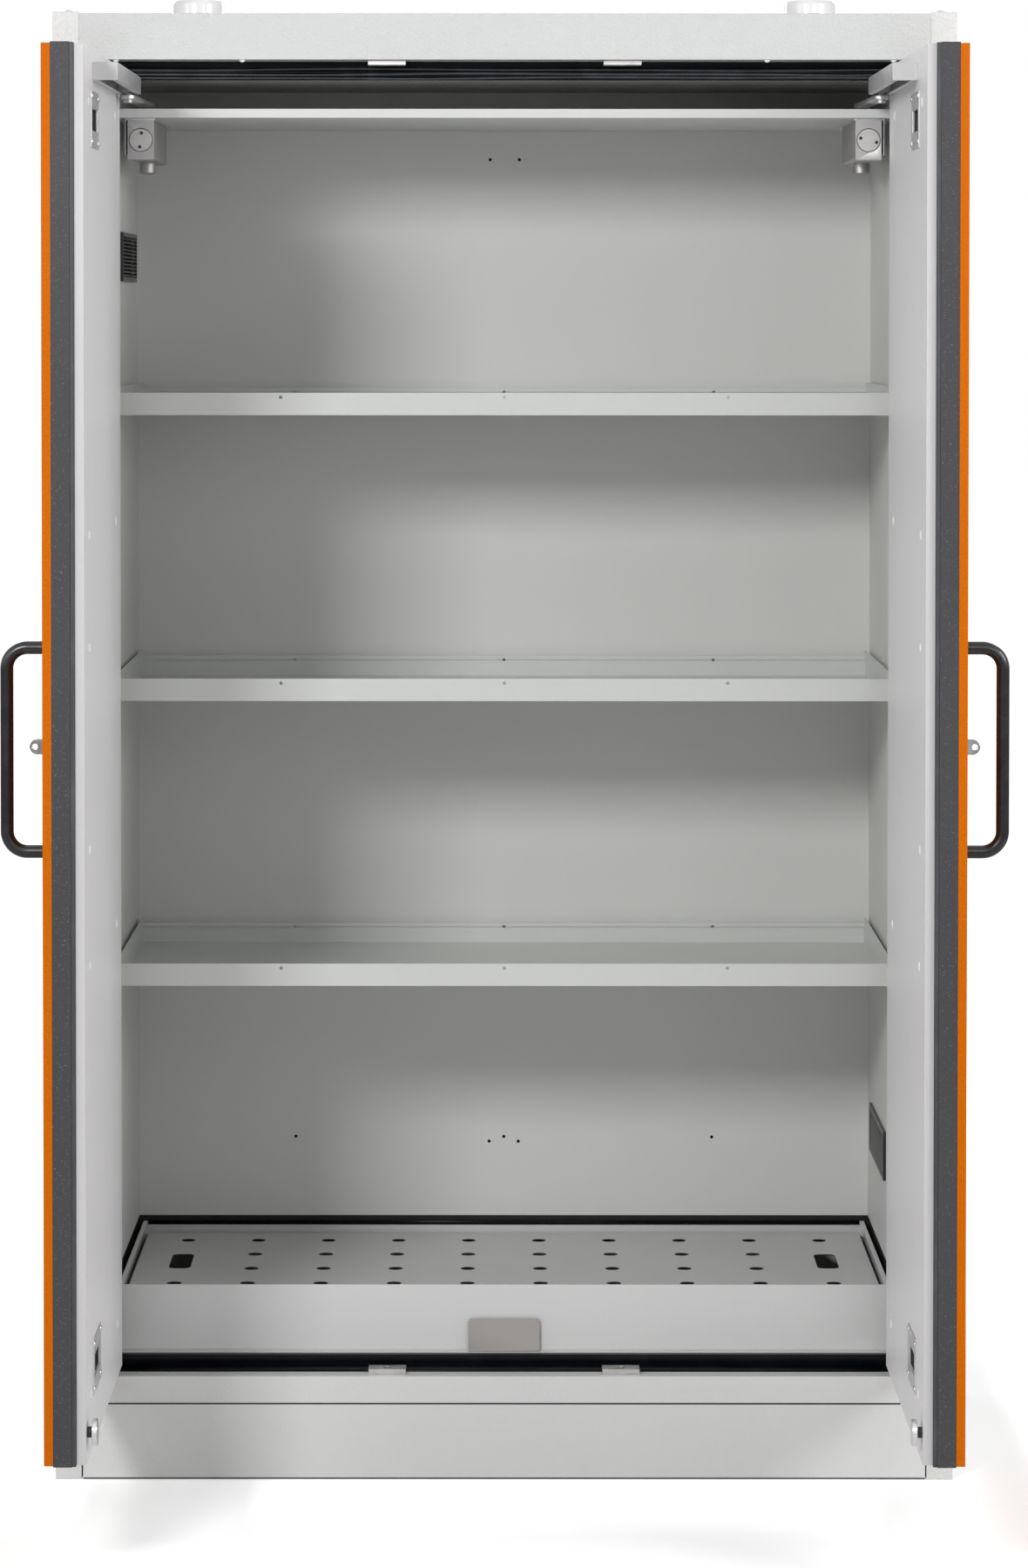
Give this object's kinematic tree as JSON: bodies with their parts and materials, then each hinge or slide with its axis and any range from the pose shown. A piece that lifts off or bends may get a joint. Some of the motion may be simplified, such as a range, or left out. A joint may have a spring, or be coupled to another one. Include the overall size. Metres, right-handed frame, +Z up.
{
  "type": "safety storage cabinet",
  "caption": "Tall steel safety storage cabinet with hinged doors open, self-closing arms, lipped shelf trays, a spill sump with a perforated insert and duct spigots.",
  "frame": {"origin": "on the floor, in the middle of the cabinet's front face", "axes": "+X to the right of someone facing the cabinet, +Y to the cabinet's back, +Z up"},
  "size_m": [1.2344, 1.1618, 1.995],
  "materials": {
    "case_grey": "satin powder coat, light grey",
    "base_steel": "matt coat, dark grey",
    "board_dark": "matt black board",
    "lining_grey": "satin coated board, grey",
    "seal_black": "smooth black seal",
    "strike_steel": "plain zinc",
    "cover_grey": "satin powder coat",
    "closer_silver": "fine matt cast",
    "closer_bracket_steel": "plain zinc",
    "grille_black": "moulded black",
    "white_plastic": "glossy white moulding",
    "shelf_grey": "satin powder coat",
    "sump_grey": "satin powder coat",
    "hinge_steel": "coated steel",
    "door_orange": "satin powder coat, orange yellow",
    "core_dark": "matt dark grey edge band over board",
    "door_inner_grey": "satin powder coat, light grey",
    "handle_black": "smooth black",
    "plated_steel": "bright plated",
    "rail_aluminium": "drawn, satin",
    "magnet_chrome": "bright plated"
  },
  "bodies": {
    "cabinet": {"side_panel_left": "case_grey", "side_panel_right": "case_grey", "top_panel": "case_grey", "rear_panel": "case_grey", "sill_rail": "case_grey", "plinth_cover": "case_grey", "base_frame": "base_steel", "insulation_boards": "board_dark", "side_liners": "lining_grey", "rear_liner": "lining_grey", "ceiling_liner": "lining_grey", "floor_liner": "lining_grey", "frame_seals": "seal_black", "strike_plates": "strike_steel", "magnet_keeper": "strike_steel", "cover_plate": "cover_grey", "closer_bodies": "closer_silver", "closer_end_caps": "closer_silver", "closer_brackets": "closer_bracket_steel", "air_grilles": "grille_black", "exhaust_spigots": "white_plastic", "spigot_plugs": "white_plastic", "shelf_bottom": "shelf_grey", "shelf_middle": "shelf_grey", "shelf_top": "shelf_grey", "shelf_clips": "shelf_grey", "sump_tray": "sump_grey", "hinge_frame_leaves": "hinge_steel", "hinge_pins": "hinge_steel"},
    "insert": {"perforated_insert": "sump_grey"},
    "door_left": {"door_skin_left": "door_orange", "door_core_left": "core_dark", "door_seal_left": "seal_black", "door_inner_pan_left": "door_inner_grey", "door_handle_left": "handle_black", "padlock_lug_left": "plated_steel", "guide_rail_left": "rail_aluminium", "latch_plates_left": "rail_aluminium", "door_magnet_left": "magnet_chrome", "hinge_door_leaves_left": "hinge_steel"},
    "slider_left": {"closer_slider_left": "closer_silver"},
    "arm_left": {"closer_arm_left": "rail_aluminium"},
    "spindle_left": {"closer_spindle_left": "plated_steel"},
    "bolt_top_left": {"latch_bolt_top_left": "plated_steel"},
    "bolt_bottom_left": {"latch_bolt_bottom_left": "plated_steel"},
    "door_right": {"door_skin_right": "door_orange", "door_core_right": "core_dark", "door_seal_right": "seal_black", "door_inner_pan_right": "door_inner_grey", "door_handle_right": "handle_black", "padlock_lug_right": "plated_steel", "guide_rail_right": "rail_aluminium", "latch_plates_right": "rail_aluminium", "door_magnet_right": "magnet_chrome", "hinge_door_leaves_right": "hinge_steel"},
    "slider_right": {"closer_slider_right": "closer_silver"},
    "arm_right": {"closer_arm_right": "rail_aluminium"},
    "spindle_right": {"closer_spindle_right": "plated_steel"},
    "bolt_top_right": {"latch_bolt_top_right": "plated_steel"},
    "bolt_bottom_right": {"latch_bolt_bottom_right": "plated_steel"}
  },
  "joints": [
    {"name": "insert_lift", "type": "slide", "parent": "cabinet", "child": "insert", "axis": [0, 0, 1], "range_m": [0, 0.12]},
    {"name": "door_left_hinge", "type": "hinge", "parent": "cabinet", "child": "door_left", "pos_m": [-0.5613, -0.002, 1.019], "axis": [0, 0, 1], "range_deg": [0, 90]},
    {"name": "slider_left_slide", "type": "slide", "parent": "door_left", "child": "slider_left", "axis": [0, -1, 0], "range_m": [0, 0.24038]},
    {"name": "arm_left_pivot", "type": "hinge", "parent": "slider_left", "child": "arm_left", "pos_m": [-0.4927, -0.06, 1.8355], "axis": [0, 0, 1], "range_deg": [-31.11, 0]},
    {"name": "spindle_left_turn", "type": "hinge", "parent": "cabinet", "child": "spindle_left", "pos_m": [-0.4865, 0.2, 1.785], "axis": [0, 0, 1], "range_deg": [0, 60.53]},
    {"name": "bolt_top_left_slide", "type": "slide", "parent": "door_left", "child": "bolt_top_left", "axis": [0, 0, 1], "range_m": [0, 0.006], "stiffness_N_per_m": 800},
    {"name": "bolt_bottom_left_slide", "type": "slide", "parent": "door_left", "child": "bolt_bottom_left", "axis": [0, 0, -1], "range_m": [0, 0.01], "stiffness_N_per_m": 800},
    {"name": "door_right_hinge", "type": "hinge", "parent": "cabinet", "child": "door_right", "pos_m": [0.5613, -0.002, 1.019], "axis": [0, 0, 1], "range_deg": [-90, 0]},
    {"name": "slider_right_slide", "type": "slide", "parent": "door_right", "child": "slider_right", "axis": [0, -1, 0], "range_m": [0, 0.24038]},
    {"name": "arm_right_pivot", "type": "hinge", "parent": "slider_right", "child": "arm_right", "pos_m": [0.4927, -0.06, 1.8355], "axis": [0, 0, 1], "range_deg": [0, 31.11]},
    {"name": "spindle_right_turn", "type": "hinge", "parent": "cabinet", "child": "spindle_right", "pos_m": [0.4865, 0.2, 1.785], "axis": [0, 0, 1], "range_deg": [-60.53, 0]},
    {"name": "bolt_top_right_slide", "type": "slide", "parent": "door_right", "child": "bolt_top_right", "axis": [0, 0, 1], "range_m": [0, 0.006], "stiffness_N_per_m": 800},
    {"name": "bolt_bottom_right_slide", "type": "slide", "parent": "door_right", "child": "bolt_bottom_right", "axis": [0, 0, -1], "range_m": [0, 0.01], "stiffness_N_per_m": 800}
  ],
  "couplings": [
    {"joint": "slider_left_slide", "follows": "door_left_hinge", "m_per_rad": 0.1529},
    {"joint": "arm_left_pivot", "follows": "door_left_hinge", "ratio": -0.3455},
    {"joint": "spindle_left_turn", "follows": "door_left_hinge", "ratio": 0.6723},
    {"joint": "slider_right_slide", "follows": "door_right_hinge", "m_per_rad": -0.1529},
    {"joint": "arm_right_pivot", "follows": "door_right_hinge", "ratio": -0.3455},
    {"joint": "spindle_right_turn", "follows": "door_right_hinge", "ratio": 0.6723}
  ]
}
